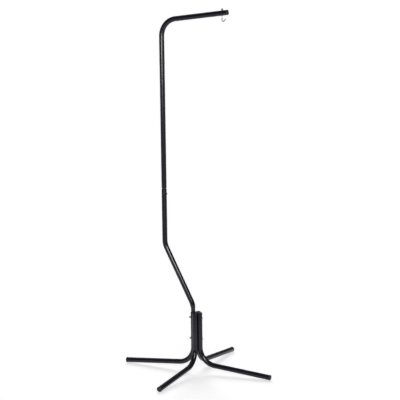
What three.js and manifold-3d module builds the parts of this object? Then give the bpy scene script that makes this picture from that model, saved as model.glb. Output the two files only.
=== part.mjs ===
// Hanging stand of black steel tube: four bent legs bolted and welded into a bundle, a cranked
// pole in two pieces that plugs into one of them, and a hook that swivels in the end of its arm.
// Millimetres. +Z is up, +X runs towards the arm's free end, and the origin is on the floor
// under the middle of the bundle of legs.
import * as THREE from 'three';
import { mergeVertices } from 'three/addons/utils/BufferGeometryUtils.js';
import Module from 'manifold-3d';

// Clearances
const GAP = 0.3; // between pieces that touch
const SOCKET_CLEARANCE = 0.4; // round a reduced tube end in the tube that takes it
const HOLE_CLEARANCE = 0.3; // round a bolt, screw or hook in its hole

// Tube stock and its bends
const TUBE_OD = 22.2;
const TUBE_WALL = 1.2;
const BEND_RADIUS = 76; // of the centre line

// Legs
const LEG_TOP = 262; // height of the bundle
const LEG_REACH = 353; // from the bundle's axis to the end of a foot
const LEG_SLOPE = 4.8; // degrees that a leg falls towards its foot
const FOOT_LIP = 0.5; // how far a foot stands out from its tube
const FOOT_RIM = 3;
const FOOT_DOME = 3.5;
const FOOT_FLAT_DEPTH = 0.5; // cut off the lip where the foot stands
const CAP_RIM = 1;
const CAP_DOME = 1;
const STEM_LENGTH = 16; // of every plug, inside its tube
const STEM_WALL = 1.8;

// Lower pole, from the rim of the socket leg upwards
const KINK_ABOVE_LEGS = 33; // to the corner where it leans out
const KINK_RISE = 258.5; // height of the leaning run
const KINK_OFFSET = 133.3; // how far the leaning run carries it sideways
const LOWER_POLE_TAIL = 241.5; // from the second corner to the joint
const INSERT_ABOVE_BEND = 15; // bottom of the insert over the leg's bend
const NECK_ABOVE_LEGS = 14; // where the reduced end starts to widen
const NECK_TAPER = 20;

// Upper pole, arm and the joint below them
const JOINT_INSERT = 55;
const JOINT_NECK = 2; // reduced tube showing above the joint's rim
const JOINT_TAPER = 7;
const JOINT_SCREW_DEPTH = 19; // below the joint's rim
const UPPER_POLE_RISE = 727.3; // from the joint to the arm's corner
const ARM_LENGTH = 311.8; // level distance from the pole's axis to the tube's end
const ARM_RISE = 7.1; // degrees above level
const ARM_CAP_LIP = 0.3;
const ARM_CAP_DOME = 2;

// Base bolts, along X through the right leg, the left leg and the pole's insert
const BOLT_D = 5;
const BOLT_HEAD_D = 9;
const BOLT_HEAD_H = 1.8;
const NUT_AF = 8; // across flats
const NUT_H = 4;
const WASHER_D = 10;
const WASHER_H = 1;
const UPPER_BOLT_BELOW_TOP = 23;
const LOWER_BOLT_ABOVE_BEND = 37;
const BOLT_ENDS = { upper: 4.2, lower: 1.4 }; // thread showing past each nut

// Joint screw
const SCREW_D = 4;
const SCREW_HEAD_D = 8;
const SCREW_HEAD_H = 3.1;
const SCREW_REACH = 6; // past the insert's outer wall

// Weld beads in the outer grooves of each welded pair of legs
const BEAD_RADIUS = 2.2;
const BEAD_RUN = 12;
const BEAD_FROM_BEND = 20;
const BEAD_FROM_TOP = 20;

// Hook
const HOOK_INSET = 24; // from the tube's end to the hook's axis
const HOOK_WIRE_D = 4.2;
const HOOK_THREAD_D = 5;
const HOOK_NUT_AF = 8;
const HOOK_NUT_H = 4;
const HOOK_WASHER_D = 10;
const HOOK_WASHER_H = 1;
const HOOK_THREAD_END = 2; // thread showing past the nut
const HOOK_CRANK_DROP = 7.5; // from the arm's underside to the crank in the shank
const HOOK_LEAN = 8; // degrees that it leans back below the crank
const HOOK_LIMB = 9; // from the crank to the start of the bowl
const HOOK_BEND = 6; // radius of the bowl's centre line
const HOOK_TIP_RUN = 12;
const HOOK_TIP_ANGLE = 50; // degrees above level

// Facets
const SIDES = 20; // of every tube, a multiple of 4
const SMALL_SIDES = 12; // of wires, bolts and their holes
const ARC_STEP = 8; // degrees of bend per facet
const OVERRUN = 2; // how far a cutter passes the surface that it cuts

// Sizes that follow from those
const TUBE_R = TUBE_OD / 2;
const BORE_R = TUBE_R - TUBE_WALL;
const INSERT_R = BORE_R - SOCKET_CLEARANCE;
const LEG_OFFSET = (TUBE_OD + GAP) / Math.SQRT2; // from the bundle's axis to a leg's
const SLOPE = THREE.MathUtils.degToRad(LEG_SLOPE);
const RISE = THREE.MathUtils.degToRad(ARM_RISE);
const FOOT_R = TUBE_R + FOOT_LIP;

const BLACK_ENAMEL = new THREE.MeshStandardMaterial({ color: 0x26262a, roughness: 0.38, metalness: 0.0 });
const BLACK_PLASTIC = new THREE.MeshStandardMaterial({ color: 0x2c2c2f, roughness: 0.55, metalness: 0.0 });
const ZINC = new THREE.MeshStandardMaterial({ color: 0xb4b7bb, roughness: 0.35, metalness: 0.9 });

const wasm = await Module();
wasm.setup();

// A geometry as a solid for joining and cutting: only positions count, shared vertices are
// merged, and the empty triangles at a lathe's poles are left out.
function solid(geometry) {
  const bare = geometry.clone();
  bare.deleteAttribute('normal');
  bare.deleteAttribute('uv');
  const merged = mergeVertices(bare);
  const index = merged.index.array;
  const triangles = [];
  for (let i = 0; i < index.length; i += 3) {
    const [a, b, c] = [index[i], index[i + 1], index[i + 2]];
    if (a !== b && b !== c && c !== a) {
      triangles.push(a, b, c);
    }
  }
  const vertProperties = Float32Array.from(merged.attributes.position.array);
  const triVerts = Uint32Array.from(triangles);
  return new wasm.Manifold(new wasm.Mesh({ numProp: 3, vertProperties, triVerts }));
}

function geometryOf(body) {
  const mesh = body.getMesh();
  const geometry = new THREE.BufferGeometry();
  geometry.setAttribute('position', new THREE.BufferAttribute(Float32Array.from(mesh.vertProperties), 3));
  geometry.setIndex(new THREE.BufferAttribute(Uint32Array.from(mesh.triVerts), 1));
  geometry.computeVertexNormals();
  return geometry;
}

function polygon(radius, sides) {
  const points = [];
  for (let i = 0; i < sides; i += 1) {
    const angle = (2 * Math.PI * i) / sides;
    points.push(new THREE.Vector2(radius * Math.cos(angle), radius * Math.sin(angle)));
  }
  return points;
}

// Centre lines lie in the XZ plane. One is a list of runs, each with its length, how many
// facets it takes, and a function from the distance along it to the point and tangent there.
function at(x, z) {
  return new THREE.Vector3(x, 0, z);
}

function straightRun(from, to) {
  const tangent = to.clone().sub(from).normalize();
  const place = (distance) => ({ point: from.clone().addScaledVector(tangent, distance), tangent });
  return { length: from.distanceTo(to), steps: 1, place };
}

function bentRun(start, into, axis, turn, radius) {
  const centre = start.clone().addScaledVector(axis.clone().cross(into), radius);
  const spoke = start.clone().sub(centre);
  const place = (distance) => {
    const angle = distance / radius;
    const point = centre.clone().add(spoke.clone().applyAxisAngle(axis, angle));
    return { point, tangent: into.clone().applyAxisAngle(axis, angle) };
  };
  const steps = Math.ceil(THREE.MathUtils.radToDeg(turn) / ARC_STEP);
  return { length: radius * turn, steps, place };
}

function setback(turn, radius) {
  return radius * Math.tan(turn / 2);
}

function centreLine(corners, radius) {
  const runs = [];
  let from = corners[0];
  for (let i = 1; i < corners.length - 1; i += 1) {
    const into = corners[i].clone().sub(corners[i - 1]).normalize();
    const out = corners[i + 1].clone().sub(corners[i]).normalize();
    const turn = into.angleTo(out);
    const back = setback(turn, radius);
    const start = corners[i].clone().addScaledVector(into, -back);
    runs.push(straightRun(from, start));
    runs.push(bentRun(start, into, into.clone().cross(out).normalize(), turn, radius));
    from = corners[i].clone().addScaledVector(out, back);
  }
  runs.push(straightRun(from, corners[corners.length - 1]));
  return runs;
}

function placeOn(runs, distance) {
  let rest = distance;
  let last = 0;
  while (last < runs.length - 1 && rest > runs[last].length) {
    rest -= runs[last].length;
    last += 1;
  }
  return runs[last].place(rest);
}

// Where the sweep has a ring of vertices: the ends of every run, the facets of every bend, and
// any extra marks, in order.
function ringMarks(runs, extra) {
  const marks = [0, ...extra];
  let reached = 0;
  for (const run of runs) {
    for (let i = 1; i <= run.steps; i += 1) {
      marks.push(reached + (run.length * i) / run.steps);
    }
    reached += run.length;
  }
  marks.sort((a, b) => a - b);
  return marks.filter((mark, i) => i === 0 || mark - marks[i - 1] > 0.5);
}

// The extrusion path of a round bar whose radius may change along it. The section is a circle
// of radius 1, and the frame at each ring is as long as the bar's radius there.
class BarPath extends THREE.Curve {
  constructor(rings) {
    super();
    this.rings = rings;
  }

  getPointAt(u) {
    return this.rings[Math.round(u * (this.rings.length - 1))].point.clone();
  }

  computeFrenetFrames() {
    const across = new THREE.Vector3(0, 1, 0);
    const tangents = this.rings.map((ring) => ring.tangent);
    const normals = this.rings.map((ring) => across.clone().cross(ring.tangent).multiplyScalar(ring.radius));
    const binormals = this.rings.map((ring) => across.clone().multiplyScalar(ring.radius));
    return { tangents, normals, binormals };
  }
}

function roundBar(runs, radiusAt, { extra = [], overrun = 0, sides = SIDES } = {}) {
  const marks = ringMarks(runs, extra);
  marks[0] -= overrun;
  marks[marks.length - 1] += overrun;
  const rings = marks.map((mark) => ({ ...placeOn(runs, mark), radius: radiusAt(mark) }));
  const section = new THREE.Shape(polygon(1, sides));
  const extrudePath = new BarPath(rings);
  return new THREE.ExtrudeGeometry(section, { steps: rings.length - 1, extrudePath, bevelEnabled: false });
}

// A tube of even wall. Its start may be reduced to plug into another tube: narrow as far as
// neck, then widening over taper.
function tube(runs, { neck = 0, taper = 0 } = {}) {
  const reduction = TUBE_R - INSERT_R;
  const radiusAt = (distance) => {
    const widened = taper > 0 ? THREE.MathUtils.clamp((distance - neck) / taper, 0, 1) : 1;
    return TUBE_R - reduction * (1 - widened);
  };
  const extra = taper > 0 ? [neck, neck + taper / 2, neck + taper] : [];
  const boreRadiusAt = (distance) => radiusAt(distance) - TUBE_WALL;
  const outer = solid(roundBar(runs, radiusAt, { extra }));
  const bore = solid(roundBar(runs, boreRadiusAt, { extra, overrun: OVERRUN }));
  return outer.subtract(bore);
}

// A round cutter along X at height z, from x1 to x2.
function crossHole(radius, z, x1, x2) {
  const hole = new THREE.CylinderGeometry(radius, radius, x2 - x1, SMALL_SIDES);
  hole.rotateZ(Math.PI / 2);
  hole.translate((x1 + x2) / 2, 0, z);
  return solid(hole);
}

// Lathe profiles are [radius, height] pairs, and the finished piece stands along +Z.
function turned(profile, sides) {
  const points = profile.map(([radius, height]) => new THREE.Vector2(radius, height));
  const geometry = new THREE.LatheGeometry(points, sides);
  geometry.rotateX(Math.PI / 2);
  return geometry;
}

// A hollow-stemmed plug for a tube end. Height 0 is the tube's end, and the head is above it.
function plug(headRadius, rim, dome) {
  const stemRadius = BORE_R - GAP;
  const hollow = stemRadius - STEM_WALL;
  const profile = [
    [0, -STEM_WALL],
    [hollow, -STEM_WALL],
    [hollow, -STEM_LENGTH],
    [stemRadius, -STEM_LENGTH],
    [stemRadius, GAP],
    [headRadius, GAP],
    [headRadius, rim],
  ];
  const domeSteps = 4;
  for (let i = 1; i <= domeSteps; i += 1) {
    const angle = (Math.PI / 2) * (i / domeSteps);
    const radius = i === domeSteps ? 0 : headRadius * Math.cos(angle) ** 0.6;
    profile.push([radius, rim + dome * Math.sin(angle)]);
  }
  return turned(profile, SIDES);
}

function hexNut(acrossFlats, height, boreRadius) {
  const outline = new THREE.Shape(polygon(acrossFlats / Math.sqrt(3), 6));
  outline.holes.push(new THREE.Path(polygon(boreRadius, SMALL_SIDES)));
  return new THREE.ExtrudeGeometry(outline, { depth: height, bevelEnabled: false });
}

function washer(outerRadius, height, boreRadius) {
  const outline = new THREE.Shape(polygon(outerRadius, SIDES));
  outline.holes.push(new THREE.Path(polygon(boreRadius, SIDES)));
  return new THREE.ExtrudeGeometry(outline, { depth: height, bevelEnabled: false });
}

// A low-domed screw or bolt along +Z: its head starts at 0 and rises, its shank goes down.
function screw(headRadius, headHeight, shankRadius, shankLength) {
  const profile = [
    [0, -shankLength],
    [shankRadius, -shankLength],
    [shankRadius, 0],
    [headRadius, 0],
    [headRadius, headHeight * 0.4],
    [headRadius * 0.8, headHeight * 0.8],
    [headRadius * 0.4, headHeight],
    [0, headHeight],
  ];
  return turned(profile, SMALL_SIDES);
}

function piece(name, geometry, material, parent) {
  const mesh = new THREE.Mesh(geometry, material);
  mesh.name = name;
  parent.add(mesh);
  return mesh;
}

const stand = new THREE.Group();

// Legs, each drawn along +X and turned to its heading. The vertical run is off the bundle's
// axis, and the foot stands on the floor by a small flat on its lip.
const legEndX = LEG_REACH - (FOOT_RIM + FOOT_DOME) * Math.cos(SLOPE);
const legEndZ = FOOT_RIM * Math.sin(SLOPE) + FOOT_R * Math.cos(SLOPE) - FOOT_FLAT_DEPTH;
const legCornerZ = legEndZ + (legEndX - LEG_OFFSET) * Math.tan(SLOPE);
const legBendTop = legCornerZ + setback(Math.PI / 2 - SLOPE, BEND_RADIUS);
const legCorners = [at(LEG_OFFSET, LEG_TOP), at(LEG_OFFSET, legCornerZ), at(legEndX, legEndZ)];

const boltHeights = {
  upper: LEG_TOP - UPPER_BOLT_BELOW_TOP,
  lower: legBendTop + LOWER_BOLT_ABOVE_BEND,
};
const boltHoleRadius = BOLT_D / 2 + HOLE_CLEARANCE;

function legGeometry(drilled) {
  let leg = tube(centreLine(legCorners, BEND_RADIUS));
  if (drilled) {
    for (const z of Object.values(boltHeights)) {
      const inner = LEG_OFFSET - TUBE_R - OVERRUN;
      leg = leg.subtract(crossHole(boltHoleRadius, z, inner, inner + TUBE_OD + 2 * OVERRUN));
    }
  }
  return geometryOf(leg);
}

// The plug's lip is cut level where it meets the floor.
function footGeometry() {
  const foot = plug(FOOT_R, FOOT_RIM, FOOT_DOME);
  foot.rotateY(Math.PI / 2 + SLOPE);
  foot.translate(legEndX, 0, legEndZ);
  const ground = new THREE.BoxGeometry(4 * FOOT_R, 4 * FOOT_R, FOOT_R);
  ground.translate(legEndX, 0, -FOOT_R / 2);
  return geometryOf(solid(foot).subtract(solid(ground)));
}

const legHeadings = { right: 0, back: 90, left: 180, front: 270 };
for (const [side, heading] of Object.entries(legHeadings)) {
  const limb = new THREE.Group();
  limb.rotation.z = THREE.MathUtils.degToRad(heading);
  stand.add(limb);
  piece(`leg_${side}`, legGeometry(side === 'left' || side === 'right'), BLACK_ENAMEL, limb);
  piece(`foot_${side}`, footGeometry(), BLACK_PLASTIC, limb);
  if (side !== 'left') {
    const cap = piece(`leg_cap_${side}`, plug(TUBE_R, CAP_RIM, CAP_DOME), BLACK_PLASTIC, limb);
    cap.position.set(LEG_OFFSET, 0, LEG_TOP);
  }
}

// Weld beads join left to front and right to back. Each lies in the pair's outer groove,
// clear of both tubes by the gap.
const pairHalf = (TUBE_OD + GAP) / 2;
const beadFromPair = Math.sqrt((TUBE_R + GAP + BEAD_RADIUS) ** 2 - pairHalf ** 2);
const beadFromAxis = pairHalf + beadFromPair;
const beadHeights = { low: legBendTop + BEAD_FROM_BEND, high: LEG_TOP - BEAD_FROM_TOP };
for (const [pair, heading] of Object.entries({ left_front: 225, right_back: 45 })) {
  for (const [level, z] of Object.entries(beadHeights)) {
    const bead = new THREE.CapsuleGeometry(BEAD_RADIUS, BEAD_RUN, 3, 8);
    bead.rotateX(Math.PI / 2);
    const angle = THREE.MathUtils.degToRad(heading);
    const mesh = piece(`weld_${pair}_${level}`, bead, BLACK_ENAMEL, stand);
    mesh.position.set(beadFromAxis * Math.cos(angle), beadFromAxis * Math.sin(angle), z);
  }
}

// Lower pole, drawn from the bottom of its insert in the left leg to the joint's rim.
const insertBottom = legBendTop + INSERT_ABOVE_BEND;
const firstKink = LEG_TOP + KINK_ABOVE_LEGS;
const secondKink = firstKink + KINK_RISE;
const jointZ = secondKink + LOWER_POLE_TAIL;
const poleX = -LEG_OFFSET - KINK_OFFSET;
const screwZ = jointZ - JOINT_SCREW_DEPTH;
const screwHoleRadius = SCREW_D / 2 + HOLE_CLEARANCE;

function lowerPoleGeometry() {
  const corners = [
    at(-LEG_OFFSET, insertBottom),
    at(-LEG_OFFSET, firstKink),
    at(poleX, secondKink),
    at(poleX, jointZ),
  ];
  const neck = LEG_TOP + NECK_ABOVE_LEGS - insertBottom;
  let pole = tube(centreLine(corners, BEND_RADIUS), { neck, taper: NECK_TAPER });
  for (const z of Object.values(boltHeights)) {
    pole = pole.subtract(crossHole(boltHoleRadius, z, -LEG_OFFSET - TUBE_R, -LEG_OFFSET + TUBE_R));
  }
  return geometryOf(pole.subtract(crossHole(screwHoleRadius, screwZ, poleX, poleX + TUBE_OD)));
}
piece('lower_pole', lowerPoleGeometry(), BLACK_ENAMEL, stand);

// Upper pole and arm in one bent tube. Its reduced lower end is screwed into the lower pole.
const armCornerZ = jointZ + UPPER_POLE_RISE;
const armEndX = poleX + ARM_LENGTH;
const armAxisZ = (x) => armCornerZ + (x - poleX) * Math.tan(RISE);
const hookX = armEndX - HOOK_INSET;

function upperPoleGeometry() {
  const corners = [at(poleX, jointZ - JOINT_INSERT), at(poleX, armCornerZ), at(armEndX, armAxisZ(armEndX))];
  const neck = JOINT_INSERT + JOINT_NECK;
  const pole = tube(centreLine(corners, BEND_RADIUS), { neck, taper: JOINT_TAPER });
  const hookHole = new THREE.CylinderGeometry(
    HOOK_THREAD_D / 2 + HOLE_CLEARANCE,
    HOOK_THREAD_D / 2 + HOLE_CLEARANCE,
    2 * TUBE_OD,
    SMALL_SIDES,
  );
  hookHole.rotateX(Math.PI / 2);
  hookHole.translate(hookX, 0, armAxisZ(hookX));
  const screwHole = crossHole(screwHoleRadius, screwZ, poleX, poleX + TUBE_OD);
  return geometryOf(pole.subtract(solid(hookHole)).subtract(screwHole));
}
piece('upper_pole', upperPoleGeometry(), BLACK_ENAMEL, stand);

const armPlug = plug(TUBE_R + ARM_CAP_LIP, CAP_RIM, ARM_CAP_DOME);
const armCap = piece('arm_cap', armPlug, BLACK_PLASTIC, stand);
armCap.position.set(armEndX, 0, armAxisZ(armEndX));
armCap.rotation.y = Math.PI / 2 - RISE;

const jointScrew = piece(
  'joint_screw',
  screw(SCREW_HEAD_D / 2, SCREW_HEAD_H, SCREW_D / 2, SCREW_REACH + TUBE_R - INSERT_R + GAP),
  BLACK_ENAMEL,
  stand,
);
jointScrew.position.set(poleX + TUBE_R + GAP, 0, screwZ);
jointScrew.rotation.y = Math.PI / 2;

// Base bolts: the head bears on the right leg, and a washer and nut on the left one.
const bundleHalf = LEG_OFFSET + TUBE_R;
for (const [level, z] of Object.entries(boltHeights)) {
  const washerX = -bundleHalf - GAP;
  const nutX = washerX - WASHER_H - GAP;
  const shank = bundleHalf + GAP - nutX + NUT_H + BOLT_ENDS[level];
  const bolt = piece(`bolt_${level}`, screw(BOLT_HEAD_D / 2, BOLT_HEAD_H, BOLT_D / 2, shank), ZINC, stand);
  bolt.position.set(bundleHalf + GAP, 0, z);
  bolt.rotation.y = Math.PI / 2;
  const ring = piece(`washer_${level}`, washer(WASHER_D / 2, WASHER_H, boltHoleRadius), ZINC, stand);
  ring.position.set(washerX, 0, z);
  ring.rotation.y = -Math.PI / 2;
  const nut = piece(`nut_${level}`, hexNut(NUT_AF, NUT_H, boltHoleRadius), ZINC, stand);
  nut.position.set(nutX, 0, z);
  nut.rotation.y = -Math.PI / 2;
}

// Hook, turning about the vertical line through its hole. Its washer clears the arm's top,
// which rises under the washer's far edge.
const armHalfHeight = TUBE_R / Math.cos(RISE);
const hook = new THREE.Group();
hook.position.set(hookX, 0, armAxisZ(hookX));
stand.add(hook);
const hookWasherZ = armHalfHeight + (HOOK_WASHER_D / 2) * Math.tan(RISE) + GAP;
const hookNutZ = hookWasherZ + HOOK_WASHER_H + GAP;
const hookTop = hookNutZ + HOOK_NUT_H + HOOK_THREAD_END;
const hookBoreRadius = HOOK_THREAD_D / 2 + HOLE_CLEARANCE;

// The shank leans back from a crank, so that the bowl comes nearly under the nut.
function hookGeometry() {
  const crank = at(0, -armHalfHeight - HOOK_CRANK_DROP);
  const lean = THREE.MathUtils.degToRad(HOOK_LEAN);
  const tipAngle = THREE.MathUtils.degToRad(HOOK_TIP_ANGLE);
  const back = setback(Math.PI / 2 + tipAngle + lean, HOOK_BEND);
  const down = at(-Math.sin(lean), -Math.cos(lean));
  const corner = crank.clone().addScaledVector(down, HOOK_LIMB + back);
  const outward = at(Math.cos(tipAngle), Math.sin(tipAngle));
  const tip = corner.clone().addScaledVector(outward, back + HOOK_TIP_RUN);
  const runs = centreLine([at(0, hookTop), crank, corner, tip], HOOK_BEND);
  const threadEnd = hookTop + armHalfHeight;
  const radiusAt = (distance) => (distance < threadEnd ? HOOK_THREAD_D : HOOK_WIRE_D) / 2;
  return roundBar(runs, radiusAt, { extra: [threadEnd - 1, threadEnd], sides: SMALL_SIDES });
}
piece('hook', hookGeometry(), ZINC, hook);
const hookRing = washer(HOOK_WASHER_D / 2, HOOK_WASHER_H, hookBoreRadius);
piece('hook_washer', hookRing, ZINC, hook).position.z = hookWasherZ;
const hookHexagon = hexNut(HOOK_NUT_AF, HOOK_NUT_H, hookBoreRadius);
piece('hook_nut', hookHexagon, ZINC, hook).position.z = hookNutZ;

export default stand;
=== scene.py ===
import bpy
import numpy as np
from mathutils import Matrix, Vector


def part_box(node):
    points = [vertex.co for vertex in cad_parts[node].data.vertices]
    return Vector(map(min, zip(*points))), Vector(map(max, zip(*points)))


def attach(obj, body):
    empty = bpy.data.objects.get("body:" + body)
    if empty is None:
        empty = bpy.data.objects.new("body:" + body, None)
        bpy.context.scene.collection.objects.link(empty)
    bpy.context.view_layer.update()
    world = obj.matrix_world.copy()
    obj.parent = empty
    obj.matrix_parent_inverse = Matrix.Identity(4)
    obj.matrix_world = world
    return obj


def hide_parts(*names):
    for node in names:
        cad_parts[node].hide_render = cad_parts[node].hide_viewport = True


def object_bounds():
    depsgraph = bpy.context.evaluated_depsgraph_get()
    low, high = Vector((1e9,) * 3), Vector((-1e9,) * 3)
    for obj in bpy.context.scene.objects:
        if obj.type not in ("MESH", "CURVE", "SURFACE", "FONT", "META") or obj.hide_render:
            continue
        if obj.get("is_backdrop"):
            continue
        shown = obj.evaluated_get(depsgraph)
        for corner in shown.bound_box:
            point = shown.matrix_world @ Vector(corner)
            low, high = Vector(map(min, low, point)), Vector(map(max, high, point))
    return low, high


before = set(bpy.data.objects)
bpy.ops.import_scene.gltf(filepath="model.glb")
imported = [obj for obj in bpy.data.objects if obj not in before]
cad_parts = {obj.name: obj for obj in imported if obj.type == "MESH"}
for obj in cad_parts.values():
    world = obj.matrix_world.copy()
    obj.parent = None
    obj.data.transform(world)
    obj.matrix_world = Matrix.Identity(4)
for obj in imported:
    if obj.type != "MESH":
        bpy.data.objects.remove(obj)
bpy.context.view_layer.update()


# ---------------------------------------------------------------------------------------------
# Legs: four lengths of one welded steel tube, each bent once on a former and powder coated
# black. They stand in a tight bundle of four and splay to the four sides, falling a little
# towards the feet. The left one is open at the top, because the pole plugs into it.
# ---------------------------------------------------------------------------------------------
TUBE_R = 0.0111
TUBE_WALL = 0.0012
RIM_ROUND = 0.0004  # the coat rounds every cut edge
BEND_R = 0.076  # of the centre line
LEG_FALL = np.radians(4.8)
BEND_STEP = np.radians(3.0)
AROUND = 64


class CentreLine:
    """A line of straight runs joined by arcs of one radius. Along an arc the point is its start
    plus the radius times (sin(angle) times the first tangent plus 1 - cos(angle) times the spoke
    to the centre), and the tangent is that sum's slope."""

    def __init__(self, corners, radius):
        corners = np.array(corners, float)
        self.runs = []
        self.marks = [0.0]
        start = corners[0]
        for before, here, after in zip(corners, corners[1:], corners[2:]):
            into = (here - before) / np.linalg.norm(here - before)
            out = (after - here) / np.linalg.norm(after - here)
            turn = np.arccos(np.clip(into @ out, -1, 1))
            back = radius * np.tan(turn / 2)
            inward = (out - into * (into @ out)) / np.sin(turn)
            steps = int(np.ceil(turn / BEND_STEP))
            self.add(start, into, None, np.linalg.norm(here - back * into - start), 1)
            self.add(here - back * into, into, inward / radius, radius * turn, steps)
            start = here + back * out
        out = (corners[-1] - start) / np.linalg.norm(corners[-1] - start)
        self.add(start, out, None, np.linalg.norm(corners[-1] - start), 1)
        self.length = self.marks[-1]

    def add(self, start, tangent, curl, length, steps):
        self.runs.append((self.marks[-1], start, tangent, curl))
        self.marks += list(self.marks[-1] + length * np.arange(1, steps + 1) / steps)

    def place(self, along):
        """Points and tangents at an array of distances, past the ends too, in a straight line."""
        points = np.zeros((len(along), 3))
        tangents = np.zeros((len(along), 3))
        for i, (begins, start, tangent, curl) in enumerate(self.runs):
            here = along >= begins if i else np.ones(len(along), bool)
            rest = (along[here] - begins)[:, None]
            if curl is None:
                points[here] = start + rest * tangent
                tangents[here] = tangent
            else:
                radius = 1 / np.linalg.norm(curl)
                spoke = curl * radius
                angle = rest / radius
                points[here] = start + radius * (np.sin(angle) * tangent + (1 - np.cos(angle)) * spoke)
                tangents[here] = np.cos(angle) * tangent + np.sin(angle) * spoke
        return points, tangents


def swept(name, line, profile, side, around=AROUND, shape=None, crease=32):
    """A skin round a centre line. Its profile is a list of (distance along, radius) rows. A point
    is the line's point at that distance plus radius times (cos(a) normal + sin(a) side), where
    the normal is side cross tangent. If both end radii are 0 the ends close at poles, otherwise
    the last row joins the first, as a tube's inner wall joins its outer one. shape(along, radius,
    angle) returns both changed, for threads, hexagons and recesses."""
    along, radius = np.array(profile, float).T
    poles = radius[0] == 0 and radius[-1] == 0
    points, tangents = line.place(along)
    side = np.array(side, float)
    normals = np.cross(side, tangents)
    angle = 2 * np.pi * np.arange(around) / around
    moved, reach = np.broadcast_arrays(along[:, None], radius[:, None] + 0 * angle)
    if shape:
        moved, reach = shape(moved, reach, angle[None, :])
    circle = np.cos(angle)[None, :, None] * normals[:, None] + np.sin(angle)[None, :, None] * side
    forward = (moved - along[:, None])[..., None] * tangents[:, None]
    skin = points[:, None] + forward + reach[..., None] * circle
    ends = skin[[0, -1], 0]
    if poles:
        skin = skin[1:-1]
    ids = np.arange(len(skin) * around).reshape(len(skin), around)
    below = ids[:-1] if poles else ids
    above = ids[1:] if poles else np.roll(ids, -1, 0)
    quads = np.stack([below, np.roll(below, -1, 1), np.roll(above, -1, 1), above], -1).reshape(-1, 4)
    vertices = skin.reshape(-1, 3)
    faces = quads.tolist()
    if poles:
        first, last = len(vertices), len(vertices) + 1
        vertices = np.vstack([vertices, ends])
        faces += np.stack([np.roll(ids[0], -1), ids[0], np.full(around, first)], -1).tolist()
        faces += np.stack([ids[-1], np.roll(ids[-1], -1), np.full(around, last)], -1).tolist()
    return surface(name, vertices, faces, crease)


def surface(name, vertices, faces, crease=32):
    """A mesh object at the origin, smooth but for edges sharper than the crease in degrees."""
    mesh = bpy.data.meshes.new(name)
    mesh.from_pydata(np.asarray(vertices).tolist(), [], faces)
    mesh.update()
    mesh.polygons.foreach_set("use_smooth", np.ones(len(mesh.polygons), bool))
    mesh.set_sharp_from_angle(angle=float(np.radians(crease)))
    made = bpy.data.objects.new(name, mesh)
    bpy.context.collection.objects.link(made)
    return made


def rounded_rim(at, outer, inner, rounding, outward):
    """Rows of a rounded cut end: a quarter circle out of the outer wall, then one into the bore."""
    quarter = np.linspace(0, np.pi / 2, 5)
    sine, cosine = rounding * (1 - np.sin(quarter)), rounding * (1 - np.cos(quarter))
    over = list(zip(at - outward * sine, outer - cosine))
    under = list(zip(at - outward * cosine, inner + sine))
    return over + under


def tube_profile(line, radius_at, extra=()):
    """Outer wall from start to end, the far rim, the bore back, and the near rim."""
    marks = np.unique(np.round([*line.marks, *extra], 6))
    inside = marks[(marks > 2 * RIM_ROUND) & (marks < line.length - 2 * RIM_ROUND)]
    out = [(m, radius_at(m)) for m in inside]
    back = [(m, radius_at(m) - TUBE_WALL) for m in inside[::-1]]
    end, start = radius_at(line.length), radius_at(0)
    far = rounded_rim(line.length, end, end - TUBE_WALL, RIM_ROUND, 1)
    near = rounded_rim(0, start, start - TUBE_WALL, RIM_ROUND, -1)
    return out + far + back + near[::-1]


def linear(colour):
    """An sRGB hex colour as linear red, green, blue and alpha."""
    parts = np.array([int(colour[i : i + 2], 16) for i in (1, 3, 5)]) / 255
    line = np.where(parts <= 0.04045, parts / 12.92, ((parts + 0.055) / 1.055) ** 2.4)
    return (*line.tolist(), 1.0)


def node(material, kind, settings=None, inputs=None, **links):
    """Adds one shader node: settings are its properties, inputs its socket values, and links its
    sockets fed by another node's output, with _ for a space in a socket's name."""
    made = material.node_tree.nodes.new(kind)
    for key, value in (settings or {}).items():
        setattr(made, key, value)
    for key, value in (inputs or {}).items():
        made.inputs[key].default_value = value
    for key, source in links.items():
        material.node_tree.links.new(source, made.inputs[key.replace("_", " ")])
    return made


def new_material(name):
    material = bpy.data.materials.new(name)
    material.use_nodes = True
    material.node_tree.nodes.clear()
    return material


def powder_coat():
    """Semi-gloss black polyester powder coat on steel: a smooth plastic skin with the slight
    orange peel that the powder leaves as it flows out, 2 to 3 mm from crest to crest."""
    material = new_material("powder_coated_steel")
    where = node(material, "ShaderNodeTexCoord").outputs["Object"]
    peel = node(material, "ShaderNodeTexNoise", inputs={"Scale": 1 / 0.0025, "Detail": 2.0}, Vector=where)
    cloud = node(material, "ShaderNodeTexNoise", inputs={"Scale": 1 / 0.06, "Detail": 3.0}, Vector=where)
    tint = node(material, "ShaderNodeValToRGB", Fac=cloud.outputs["Fac"])
    tint.color_ramp.elements[0].color = linear("#110f18")
    tint.color_ramp.elements[0].position = 0.3
    tint.color_ramp.elements[1].color = linear("#18161f")
    tint.color_ramp.elements[1].position = 0.7
    rough = node(
        material, "ShaderNodeMapRange", inputs={"To Min": 0.17, "To Max": 0.22}, Value=cloud.outputs["Fac"]
    )
    relief = {"Strength": 0.06, "Distance": 0.0002}
    bump = node(material, "ShaderNodeBump", inputs=relief, Height=peel.outputs["Fac"])
    shader = node(
        material,
        "ShaderNodeBsdfPrincipled",
        inputs={"IOR": 1.5},
        Base_Color=tint.outputs["Color"],
        Roughness=rough.outputs["Result"],
        Normal=bump.outputs["Normal"],
    )
    node(material, "ShaderNodeOutputMaterial", Surface=shader.outputs["BSDF"])
    return material


def finish_piece(piece, material, slot, body, *nodes):
    piece.data.materials.clear()
    piece.data.materials.append(material)
    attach(piece, body)
    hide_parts(*nodes)


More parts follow.
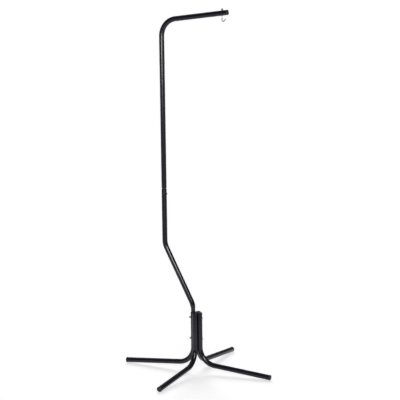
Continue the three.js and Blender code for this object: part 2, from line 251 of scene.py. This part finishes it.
def drill(piece, middle, direction, radius, reach):
    """Cuts a round hole through the piece, reach to either side of its middle."""
    middle, direction = np.array(middle, float), np.array(direction, float)
    line = CentreLine([middle - reach * direction, middle + reach * direction], 0)
    cutter = swept("cutter", line, [(0, 0), (0, radius), (2 * reach, radius), (2 * reach, 0)], (0, 1, 0), 32)
    cut = piece.modifiers.new("hole", "BOOLEAN")
    cut.object = cutter
    cut.solver = "EXACT"
    drilled = bpy.data.meshes.new_from_object(piece.evaluated_get(bpy.context.evaluated_depsgraph_get()))
    piece.modifiers.clear()
    whole, piece.data = piece.data, drilled
    drilled.set_sharp_from_angle(angle=float(np.radians(32)))
    bpy.data.meshes.remove(whole)
    bpy.data.objects.remove(cutter)


UP = np.array([0, 0, 1.0])
ACROSS = (0, 1, 0)  # of everything in the pole's own plane
HEADINGS = {"right": 0, "back": 90, "left": 180, "front": 270}
BOLTS = ("upper", "lower")
HOLE_ROOM = 0.0003  # round every bolt, screw and hook
leg_low, leg_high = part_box("leg_right")
LEG_OFFSET = leg_low.x + TUBE_R
LEG_END_X = leg_high.x - TUBE_R * np.sin(LEG_FALL)
LEG_END_Z = leg_low.z + TUBE_R * np.cos(LEG_FALL)
LEG_TOP = leg_high.z
LEG_CORNER_Z = LEG_END_Z + (LEG_END_X - LEG_OFFSET) * np.tan(LEG_FALL)


def middle_of(cad_node):
    low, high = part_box(cad_node)
    return np.array((low + high) / 2)


def level(heading):
    """The level direction of a leg, and the direction across it."""
    angle = np.radians(heading)
    outward = np.array([np.cos(angle), np.sin(angle), 0])
    return outward, np.array([-outward[1], outward[0], 0])


coat = powder_coat()
BOLT_R = 0.0025
for name, heading in HEADINGS.items():
    outward, across = level(heading)
    corners = [
        LEG_OFFSET * outward + LEG_TOP * UP,
        LEG_OFFSET * outward + LEG_CORNER_Z * UP,
        LEG_END_X * outward + LEG_END_Z * UP,
    ]
    line = CentreLine(corners, BEND_R)
    leg = swept(f"leg_{name}_tube", line, tube_profile(line, lambda along: TUBE_R), across)
    if name in ("left", "right"):
        for bolt in BOLTS:
            hole = [LEG_OFFSET * outward[0], 0, middle_of(f"bolt_{bolt}")[2]]
            drill(leg, hole, (1, 0, 0), BOLT_R + HOLE_ROOM, 1.5 * TUBE_R)
    finish_piece(leg, coat, "black_enamel", "stand", f"leg_{name}")


# ---------------------------------------------------------------------------------------------
# Plugs: feet in the legs' lower ends and caps in the tops of the three legs that take no pole,
# all of black polyethylene, moulded in one shot with a hollow stem and pushed into the bore.
# A foot has a domed head with a lip, pressed flat where it stands.
# ---------------------------------------------------------------------------------------------
PLUG_GAP = 0.0003
STEM_LENGTH = 0.016
STEM_WALL = 0.0018
STEM_R = TUBE_R - TUBE_WALL - PLUG_GAP
FOOT_LIP = 0.0005
FOOT_RIM = 0.003
FOOT_DOME = 0.00345
CAP_RIM = 0.001
CAP_DOME = 0.001


def softened(profile, rounding):
    """A profile with its corners eased: each is left and joined again at the rounding's distance,
    or at a third of a shorter side, along a parabola."""
    rows = np.array(profile, float)
    eased = [rows[0]]
    for before, corner, after in zip(rows, rows[1:], rows[2:]):
        reach = [min(rounding, np.linalg.norm(p - corner) / 3) for p in (before, after)]
        enter = corner + (before - corner) * reach[0] / np.linalg.norm(before - corner)
        leave = corner + (after - corner) * reach[1] / np.linalg.norm(after - corner)
        for t in np.linspace(0, 1, 4):
            eased.append((1 - t) ** 2 * enter + 2 * t * (1 - t) * corner + t**2 * leave)
    return np.array(eased + [rows[-1]])


def plug_profile(head, rim, dome):
    """From the blind hollow of the stem, round its mouth, out under the head and over a dome
    whose height is the sine, and whose radius a power of the cosine, of the same angle."""
    hollow = STEM_R - STEM_WALL
    stem = [
        (-STEM_WALL, 0),
        (-STEM_WALL, hollow),
        (-STEM_LENGTH, hollow),
        (-STEM_LENGTH, STEM_R),
        (PLUG_GAP, STEM_R),
        (PLUG_GAP, head),
        (rim, head),
    ]
    swell = np.linspace(0, np.pi / 2, 14)[1:]
    crown = [(rim + dome * np.sin(a), head * np.cos(a) ** 0.6) for a in swell]
    crown[-1] = (rim + dome, 0)
    return np.vstack([softened(stem, 0.0003), crown])


def moulded_plastic():
    """Black polyethylene straight from the mould: satin, waxy, with a fine spark-eroded grain of
    about 0.3 mm, drawn at 0.6 mm so that it still shows."""
    material = new_material("moulded_polyethylene")
    where = node(material, "ShaderNodeTexCoord").outputs["Object"]
    grain = node(material, "ShaderNodeTexNoise", inputs={"Scale": 1 / 0.0006, "Detail": 3.0}, Vector=where)
    flow = node(material, "ShaderNodeTexNoise", inputs={"Scale": 1 / 0.008, "Detail": 2.0}, Vector=where)
    tint = node(material, "ShaderNodeValToRGB", Fac=flow.outputs["Fac"])
    tint.color_ramp.elements[0].color = linear("#1e1e20")
    tint.color_ramp.elements[1].color = linear("#27272a")
    rough = node(
        material, "ShaderNodeMapRange", inputs={"To Min": 0.42, "To Max": 0.52}, Value=grain.outputs["Fac"]
    )
    relief = {"Strength": 0.25, "Distance": 0.0001}
    bump = node(material, "ShaderNodeBump", inputs=relief, Height=grain.outputs["Fac"])
    shader = node(
        material,
        "ShaderNodeBsdfPrincipled",
        inputs={"IOR": 1.51},
        Base_Color=tint.outputs["Color"],
        Roughness=rough.outputs["Result"],
        Normal=bump.outputs["Normal"],
    )
    node(material, "ShaderNodeOutputMaterial", Surface=shader.outputs["BSDF"])
    return material


def plug(name, end, direction, side, profile):
    line = CentreLine([end, end + direction], 0)
    return swept(name, line, profile, side)


plastic = moulded_plastic()
foot_profile = plug_profile(TUBE_R + FOOT_LIP, FOOT_RIM, FOOT_DOME)
cap_profile = plug_profile(TUBE_R, CAP_RIM, CAP_DOME)
for name, heading in HEADINGS.items():
    outward, across = level(heading)
    end = LEG_END_X * outward + LEG_END_Z * UP
    falling = np.cos(LEG_FALL) * outward - np.sin(LEG_FALL) * UP
    foot = plug(f"foot_{name}_plug", end, falling, across, foot_profile)
    places = np.empty(3 * len(foot.data.vertices))
    foot.data.vertices.foreach_get("co", places)
    places[2::3] = np.maximum(places[2::3], 0)
    foot.data.vertices.foreach_set("co", places)
    finish_piece(foot, plastic, "black_plastic", "stand", f"foot_{name}")
    if name != "left":
        cap = plug(f"cap_{name}_plug", LEG_OFFSET * outward + LEG_TOP * UP, UP, across, cap_profile)
        finish_piece(cap, plastic, "black_plastic", "stand", f"leg_cap_{name}")


# ---------------------------------------------------------------------------------------------
# Welds: short beads in the outer groove of each pair of legs, laid before coating, so that they
# carry the same coat. Each puddle of the arc leaves a low ripple.
# ---------------------------------------------------------------------------------------------
RIPPLE = 0.0019
BEAD_R = 0.0022


def bead_profile(length):
    """A rod with ball ends whose radius swells and falls by 7% with every ripple."""
    along = np.linspace(0, length, 61)
    to_end = np.minimum(np.minimum(along, length - along) / BEAD_R, 1)
    radius = BEAD_R * np.sqrt(1 - (1 - to_end) ** 2) * (0.93 + 0.07 * np.cos(2 * np.pi * along / RIPPLE))
    radius[[0, -1]] = 0
    return np.stack([along, radius], 1)


for pair in ("left_front", "right_back"):
    for place in ("low", "high"):
        low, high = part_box(f"weld_{pair}_{place}")
        x, y, _ = middle_of(f"weld_{pair}_{place}")
        line = CentreLine([(x, y, low.z), (x, y, high.z)], 0)
        bead = swept(f"weld_{pair}_{place}_bead", line, bead_profile(high.z - low.z), ACROSS, 24, crease=70)
        finish_piece(bead, coat, "black_enamel", "stand", f"weld_{pair}_{place}")


# ---------------------------------------------------------------------------------------------
# Lower pole: the same tube, swaged down at its lower end to slide into the left leg, and bent
# twice to carry the pole out to one side. Its upper end is left open for the next piece.
# ---------------------------------------------------------------------------------------------
SOCKET_ROOM = 0.0004
NECK_R = TUBE_R - TUBE_WALL - SOCKET_ROOM
KINK_ABOVE_LEGS = 0.033
KINK_RISE = 0.2585
NECK_ABOVE_LEGS = 0.014
NECK_TAPER = 0.020
SCREW_R = 0.002


def swaged(neck, taper):
    """The radius along a tube whose start is reduced: it widens over the taper as 3t^2 - 2t^3."""

    def radius_at(along):
        t = np.clip((along - neck) / taper, 0, 1)
        return NECK_R + (TUBE_R - NECK_R) * t * t * (3 - 2 * t)

    return radius_at


pole_low, pole_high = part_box("lower_pole")
POLE_X = pole_low.x + TUBE_R
JOINT_Z = pole_high.z
first_kink = LEG_TOP + KINK_ABOVE_LEGS
corners = [
    (-LEG_OFFSET, 0, pole_low.z),
    (-LEG_OFFSET, 0, first_kink),
    (POLE_X, 0, first_kink + KINK_RISE),
    (POLE_X, 0, JOINT_Z),
]
line = CentreLine(corners, BEND_R)
neck = LEG_TOP + NECK_ABOVE_LEGS - pole_low.z
profile = tube_profile(line, swaged(neck, NECK_TAPER), neck + NECK_TAPER * np.linspace(0, 1, 9))
pole = swept("lower_pole_tube", line, profile, ACROSS)
for bolt in BOLTS:
    drill(pole, (-LEG_OFFSET, 0, middle_of(f"bolt_{bolt}")[2]), (1, 0, 0), BOLT_R + HOLE_ROOM, 1.5 * TUBE_R)
screw_z = middle_of("joint_screw")[2]
drill(pole, (POLE_X + TUBE_R, 0, screw_z), (1, 0, 0), SCREW_R + HOLE_ROOM, 0.6 * TUBE_R)
finish_piece(pole, coat, "black_enamel", "stand", "lower_pole")


# ---------------------------------------------------------------------------------------------
# Upper pole: one tube with a swaged foot that drops into the lower pole, and one big bend into
# the arm, which rises a little to its free end. A hole near that end takes the hook.
# ---------------------------------------------------------------------------------------------
ARM_RISE = np.radians(7.1)
JOINT_NECK = 0.002
JOINT_TAPER = 0.007
HOOK_THREAD_R = 0.0025

pole_low, pole_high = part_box("upper_pole")
ARM_END_X = pole_high.x - TUBE_R * np.sin(ARM_RISE)
ARM_END_Z = pole_high.z - TUBE_R * np.cos(ARM_RISE)
arm_corner_z = ARM_END_Z - (ARM_END_X - POLE_X) * np.tan(ARM_RISE)
line = CentreLine([(POLE_X, 0, pole_low.z), (POLE_X, 0, arm_corner_z), (ARM_END_X, 0, ARM_END_Z)], BEND_R)
neck = JOINT_Z + JOINT_NECK - pole_low.z
profile = tube_profile(line, swaged(neck, JOINT_TAPER), neck + JOINT_TAPER * np.linspace(0, 1, 9))
arm = swept("upper_pole_tube", line, profile, ACROSS)
HOOK_X = middle_of("hook_nut")[0]
hook_hole = (HOOK_X, 0, ARM_END_Z - (ARM_END_X - HOOK_X) * np.tan(ARM_RISE))
drill(arm, hook_hole, UP, HOOK_THREAD_R + HOLE_ROOM, 2 * TUBE_R)
drill(arm, (POLE_X + TUBE_R, 0, screw_z), (1, 0, 0), SCREW_R + HOLE_ROOM, 0.6 * TUBE_R)
finish_piece(arm, coat, "black_enamel", "stand", "upper_pole")

# The same kind of plug closes the arm's end.
ARM_CAP_LIP = 0.0003
ARM_CAP_DOME = 0.002
rising = np.array([np.cos(ARM_RISE), 0, np.sin(ARM_RISE)])
end = np.array([ARM_END_X, 0, ARM_END_Z])
cap = plug("arm_cap_plug", end, rising, ACROSS, plug_profile(TUBE_R + ARM_CAP_LIP, CAP_RIM, ARM_CAP_DOME))
finish_piece(cap, plastic, "black_plastic", "stand", "arm_cap")


# ---------------------------------------------------------------------------------------------
# Fasteners: cold-headed steel with rolled threads. The bolts, nuts and washers are zinc plated and
# passivated. Two bolts run through both legs and the pole's swaged end to washers and nuts. A screw,
# coated black, pins the pole's joint.
# ---------------------------------------------------------------------------------------------
def zinc_plate():
    """Zinc with a clear passivate: silver grey, a little blue, a soft metallic sheen with faint
    patches, about 4 mm across, where the bath left the crystals finer or coarser."""
    material = new_material("zinc_plated_steel")
    where = node(material, "ShaderNodeTexCoord").outputs["Object"]
    patch = node(material, "ShaderNodeTexNoise", inputs={"Scale": 1 / 0.004, "Detail": 4.0}, Vector=where)
    tint = node(material, "ShaderNodeValToRGB", Fac=patch.outputs["Fac"])
    tint.color_ramp.elements[0].color = linear("#9c9fa6")
    tint.color_ramp.elements[0].position = 0.35
    tint.color_ramp.elements[1].color = linear("#b6b7b5")
    tint.color_ramp.elements[1].position = 0.7
    rough = node(
        material, "ShaderNodeMapRange", inputs={"To Min": 0.24, "To Max": 0.38}, Value=patch.outputs["Fac"]
    )
    shader = node(
        material,
        "ShaderNodeBsdfPrincipled",
        inputs={"Metallic": 1.0},
        Base_Color=tint.outputs["Color"],
        Roughness=rough.outputs["Result"],
    )
    node(material, "ShaderNodeOutputMaterial", Surface=shader.outputs["BSDF"])
    return material


def threaded(start, end, pitch, major):
    """A helical thread: once every pitch the radius falls by 0.54 of the pitch and rises again,
    in straight flanks, at a phase of one full turn per pitch."""
    rows = np.arange(start, end, pitch / 8)

    def shape(along, radius, angle):
        turns = along / pitch - angle / (2 * np.pi)
        fall = np.abs(2 * (turns % 1) - 1)
        cut = (along >= start) & (along <= end) & (radius > major / 2)
        return along, radius - np.where(cut, 0.54 * pitch * fall, 0)

    return rows, shape


def recessed(shape, seat, depth, half_width, half_length):
    """Adds a cross recess to a head: it is deepest in the middle and runs out along four arms."""

    def with_recess(along, radius, angle):
        x, y = np.abs(radius * np.cos(angle)), np.abs(radius * np.sin(angle))
        flank = np.clip((half_width - np.minimum(x, y)) / (0.4 * half_width), 0, 1)
        run_out = np.clip((half_length - np.maximum(x, y)) / (0.45 * half_length), 0, 1)
        sunk = np.where(along > seat, along - depth * flank * run_out, along)
        return shape(sunk, radius, angle) if shape else (sunk, radius)

    return with_recess


def fastener(name, start, end, shank_r, head_r, head_h, pitch, thread_length, point=0.0006):
    """Turned rows from the point, up the thread and plain shank, round the head and over it."""
    length = np.linalg.norm(np.array(end) - np.array(start))
    seat = length - head_h
    rows, shape = threaded(point, thread_length, pitch, shank_r)
    shank = [(0, 0), (0, shank_r - point), (point, shank_r)] + [(row, shank_r) for row in rows[1:]]
    shank += [(thread_length, shank_r), (seat, shank_r), (seat, head_r - 0.0002), (seat + 0.0002, head_r)]
    swell = np.linspace(0.15, np.pi / 2, 22)
    crown = [(seat + 0.35 * head_h + 0.65 * head_h * np.sin(a), head_r * np.cos(a) ** 0.7) for a in swell]
    crown[-1] = (length, 0)
    recess = recessed(shape, seat + 0.0001, 0.6 * head_h, 0.16 * head_r, 0.62 * head_r)
    return swept(name, CentreLine([start, end], 0), shank + crown, ACROSS, 96, recess)


def hex_nut(name, start, end, across_flats, bore_r):
    """A round blank with 30 degree chamfers, cut by a hexagon: the radius is the lesser of the
    blank's and half the width across flats over the cosine of the angle from the nearest flat."""
    height = np.linalg.norm(np.array(end) - np.array(start))
    corner = across_flats / np.sqrt(3)
    face = 0.475 * across_flats
    chamfer = (corner - face) * np.tan(np.radians(30))
    ramp = np.linspace(0, 1, 6)
    side = [(chamfer * t, face + (corner - face) * t) for t in ramp]
    side += [(height - chamfer * t, face + (corner - face) * t) for t in ramp[::-1]]
    lead = 0.0003
    bore = [(height, bore_r + lead), (height - lead, bore_r), (lead, bore_r), (0, bore_r + lead)]

    def shape(along, radius, angle):
        from_flat = (angle % (np.pi / 3)) - np.pi / 6
        return along, np.minimum(radius, across_flats / 2 / np.cos(from_flat))

    return swept(name, CentreLine([start, end], 0), side + bore, ACROSS, 72, shape)


def flat_washer(name, start, end, outer_r, bore_r):
    """A stamped ring, rounded over on the punch side and nearly sharp on the other."""
    height = np.linalg.norm(np.array(end) - np.array(start))
    profile = rounded_rim(height, outer_r, bore_r, 0.3 * height, 1)
    profile += rounded_rim(0, outer_r, bore_r, 0.1 * height, -1)[::-1]
    return swept(name, CentreLine([start, end], 0), profile, ACROSS, 64)


def axis_ends(cad_node, axis):
    """The two ends of a CAD node's middle line along X (0) or Z (2)."""
    low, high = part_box(cad_node)
    start, end = middle_of(cad_node), middle_of(cad_node)
    start[axis], end[axis] = low[axis], high[axis]
    return start, end


zinc = zinc_plate()
M5_PITCH = 0.0008
NUT_AF = 0.008
WASHER_R = 0.005
BOLT_HEAD_R = 0.0045
BOLT_HEAD_H = 0.0018
BOLT_THREAD = 0.022
SCREW_HEAD_R = 0.004
SCREW_HEAD_H = 0.0031
SCREW_PITCH = 0.0014
SCREW_THREAD = 0.0075
for bolt in BOLTS:
    start, end = axis_ends(f"bolt_{bolt}", 0)
    made = fastener(f"bolt_{bolt}_m5", start, end, BOLT_R, BOLT_HEAD_R, BOLT_HEAD_H, M5_PITCH, BOLT_THREAD)
    finish_piece(made, zinc, "zinc_plate", "stand", f"bolt_{bolt}")
    start, end = axis_ends(f"nut_{bolt}", 0)
    made = hex_nut(f"nut_{bolt}_m5", start, end, NUT_AF, BOLT_R + HOLE_ROOM)
    finish_piece(made, zinc, "zinc_plate", "stand", f"nut_{bolt}")
    start, end = axis_ends(f"washer_{bolt}", 0)
    made = flat_washer(f"washer_{bolt}_m5", start, end, WASHER_R, BOLT_R + HOLE_ROOM)
    finish_piece(made, zinc, "zinc_plate", "stand", f"washer_{bolt}")

start, end = axis_ends("joint_screw", 0)
head = (SCREW_HEAD_R, SCREW_HEAD_H)
made = fastener("joint_screw_pan", start, end, SCREW_R, *head, SCREW_PITCH, SCREW_THREAD)
finish_piece(made, coat, "black_enamel", "stand", "joint_screw")


# ---------------------------------------------------------------------------------------------
# Hook: drawn steel wire with a rolled thread, bent to an open J and zinc plated. Its shank leans
# back to bring the bowl nearly under the nut and washer, which it hangs from on top of the arm.
# It turns freely in the hole.
# ---------------------------------------------------------------------------------------------
HOOK_WIRE_R = 0.0021
HOOK_LEAN = np.radians(8)
HOOK_LIMB = 0.009
HOOK_BEND_R = 0.006
HOOK_TIP_RUN = 0.012
HOOK_TIP_ANGLE = np.radians(50)
HOOK_THREAD_LENGTH = 0.020

hook_low, hook_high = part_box("hook")
turn = np.pi / 2 + HOOK_TIP_ANGLE + HOOK_LEAN
back = HOOK_BEND_R * np.tan(turn / 2)
down = np.array([-np.sin(HOOK_LEAN), 0, -np.cos(HOOK_LEAN)])
out = np.array([np.cos(HOOK_TIP_ANGLE), 0, np.sin(HOOK_TIP_ANGLE)])
bowl_start = hook_low.z + HOOK_WIRE_R + HOOK_BEND_R * (1 + np.sin(HOOK_LEAN))
crank = np.array([HOOK_X, 0, bowl_start + HOOK_LIMB * np.cos(HOOK_LEAN)])
corner = crank + (HOOK_LIMB + back) * down
tip = corner + (back + HOOK_TIP_RUN) * out
line = CentreLine([tip, corner, crank, (HOOK_X, 0, hook_high.z)], HOOK_BEND_R)
thread_start = line.length - HOOK_THREAD_LENGTH
rows, shape = threaded(thread_start, line.length - 0.0005, M5_PITCH, HOOK_THREAD_R)
ball = np.linspace(0, np.pi / 2, 7)
profile = [(HOOK_WIRE_R * (1 - np.cos(a)), HOOK_WIRE_R * np.sin(a)) for a in ball]
profile += [(mark, HOOK_WIRE_R) for mark in line.marks[1:-1] if mark > HOOK_WIRE_R]
profile += [(thread_start - 0.001, HOOK_WIRE_R)] + [(row, HOOK_THREAD_R) for row in rows]
profile += [(line.length - 0.0005, HOOK_THREAD_R), (line.length, HOOK_THREAD_R - 0.0005), (line.length, 0)]
hook = swept("hook_wire", line, profile, ACROSS, 32, shape)
finish_piece(hook, zinc, "zinc_plate", "swivel_hook", "hook")

start, end = axis_ends("hook_nut", 2)
made = hex_nut("hook_nut_m5", start, end, NUT_AF, HOOK_THREAD_R + HOLE_ROOM)
finish_piece(made, zinc, "zinc_plate", "swivel_hook", "hook_nut")
start, end = axis_ends("hook_washer", 2)
made = flat_washer("hook_washer_m5", start, end, WASHER_R, HOOK_THREAD_R + HOLE_ROOM)
finish_piece(made, zinc, "zinc_plate", "swivel_hook", "hook_washer")


# ---------------------------------------------------------------------------------------------
# Camera, floor and light: a long lens from the front right, a white floor, and a back and a front
# light that lay soft shadows on both sides of the legs. The gloss mirrors a broad key, two soft
# panels and light painted into the floor's glow near the stand.
# ---------------------------------------------------------------------------------------------
AZIMUTH = np.radians(26.995)
PITCH = np.radians(10.009)
ROLL = np.radians(-0.718)
CAMERA_AT = Vector((3.1665, -6.1684, 1.9814))
LENS = 147.82


def add_camera():
    """Right, up and forward from azimuth, pitch and roll, as the columns of its matrix."""
    right = Vector((np.cos(AZIMUTH), np.sin(AZIMUTH), 0))
    forward = Vector((-np.sin(AZIMUTH) * np.cos(PITCH), np.cos(AZIMUTH) * np.cos(PITCH), -np.sin(PITCH)))
    up = right.cross(forward)
    rolled_right = np.cos(ROLL) * right + np.sin(ROLL) * up
    rolled_up = np.cos(ROLL) * up - np.sin(ROLL) * right
    data = bpy.data.cameras.new("camera")
    data.lens = LENS
    data.clip_end = 500
    camera = bpy.data.objects.new("camera", data)
    turned = Matrix((rolled_right, rolled_up, -forward)).transposed().to_4x4()
    camera.matrix_world = Matrix.Translation(CAMERA_AT) @ turned
    bpy.context.collection.objects.link(camera)
    bpy.context.scene.camera = camera


def add_floor():
    """A wide white floor. What the stand mirrors is painted light: the floor's glow is bright near the
    stand and dims from 1.1 to 3 m away from it, while the eye sees an even white."""
    size = 150
    corners = [(-size, -size, 0), (size, -size, 0), (size, size, 0), (-size, size, 0)]
    floor = surface("floor", np.array(corners, float), [[0, 1, 2, 3]])
    white = new_material("white_floor")
    where = node(white, "ShaderNodeTexCoord").outputs["Object"]
    away = node(white, "ShaderNodeVectorMath", {"operation": "LENGTH"}, Vector=where).outputs["Value"]
    dimming = node(white, "ShaderNodeMapRange", inputs={"From Min": 1.1, "From Max": 3.0}, Value=away)
    # painted light: the glow that reflections see is bright near the stand and dark beyond 3 m
    painted_light_pool = node(white, "ShaderNodeValToRGB", Fac=dimming.outputs["Result"])
    painted_light_pool.color_ramp.elements[0].color = linear("#d9d3e2")
    painted_light_pool.color_ramp.elements[1].color = linear("#302e36")
    seen = node(
        white,
        "ShaderNodeMixRGB",
        inputs={"Color2": (1, 1, 1, 1)},
        Fac=node(white, "ShaderNodeLightPath").outputs["Is Camera Ray"],
        Color1=painted_light_pool.outputs["Color"],
    )
    shader = node(
        white,
        "ShaderNodeBsdfPrincipled",
        inputs={"Base Color": linear("#f2f2f2"), "Roughness": 0.9, "Specular IOR Level": 0.1,
                "Emission Strength": 0.605},
        Emission_Color=seen.outputs["Color"],
    )
    node(white, "ShaderNodeOutputMaterial", Surface=shader.outputs["BSDF"])
    floor.data.materials.append(white)
    floor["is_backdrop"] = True


def add_lights():
    """A dim sky that the eye sees as white. The key and the two panels show only in the gloss.
    The back and front lights only light surfaces, and lay the shadows."""
    sky = bpy.data.worlds.new("sky")
    sky.use_nodes = True
    sky.node_tree.nodes["Background"].inputs["Color"].default_value = (1.0, 0.96, 1.1, 1)
    seen = node(sky, "ShaderNodeLightPath").outputs["Is Camera Ray"]
    glow = node(sky, "ShaderNodeMapRange", inputs={"To Min": 0.10, "To Max": 1.1}, Value=seen)
    sky.node_tree.links.new(
        glow.outputs["Result"], sky.node_tree.nodes["Background"].inputs["Strength"]
    )
    bpy.context.scene.world = sky
    for name, comes_from, spread, energy, in_gloss in (
        ("key", (-0.75, 0.75, 1.0), 80, 0.45, True),
        ("back_light", (-0.55, 1.0, 0.6), 30, 1.8, False),
        ("front_light", (0.5, -1.0, 0.6), 30, 0.6, False),
    ):
        sun = bpy.data.lights.new(name, "SUN")
        sun.energy = energy
        sun.angle = np.radians(spread)
        lamp = bpy.data.objects.new(name, sun)
        lamp.rotation_mode = "QUATERNION"
        lamp.rotation_quaternion = Vector(comes_from).to_track_quat("Z", "Y")
        lamp.visible_glossy = in_gloss
        lamp.visible_diffuse = not in_gloss
        bpy.context.collection.objects.link(lamp)
    for name, place, width, height, watts in (
        ("left_panel", (0.64, -2.16, 1.16), 0.9, 0.36, 14.5),
        ("right_panel", (1.60, -1.57, 1.75), 0.8, 1.0, 34),
    ):
        panel = bpy.data.lights.new(name, "AREA")
        panel.shape = "RECTANGLE"
        panel.size, panel.size_y = width, height
        panel.energy = watts
        box = bpy.data.objects.new(name, panel)
        box.location = place
        box.rotation_mode = "QUATERNION"
        box.rotation_quaternion = (box.location - Vector((POLE_X, 0, 1.2))).to_track_quat("Z", "Y")
        box.visible_camera = False
        box.visible_diffuse = False
        bpy.context.collection.objects.link(box)
    view = bpy.context.scene.view_settings
    view.view_transform = "Standard"
    view.look = "None"


add_camera()
add_floor()
add_lights()

low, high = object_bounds()
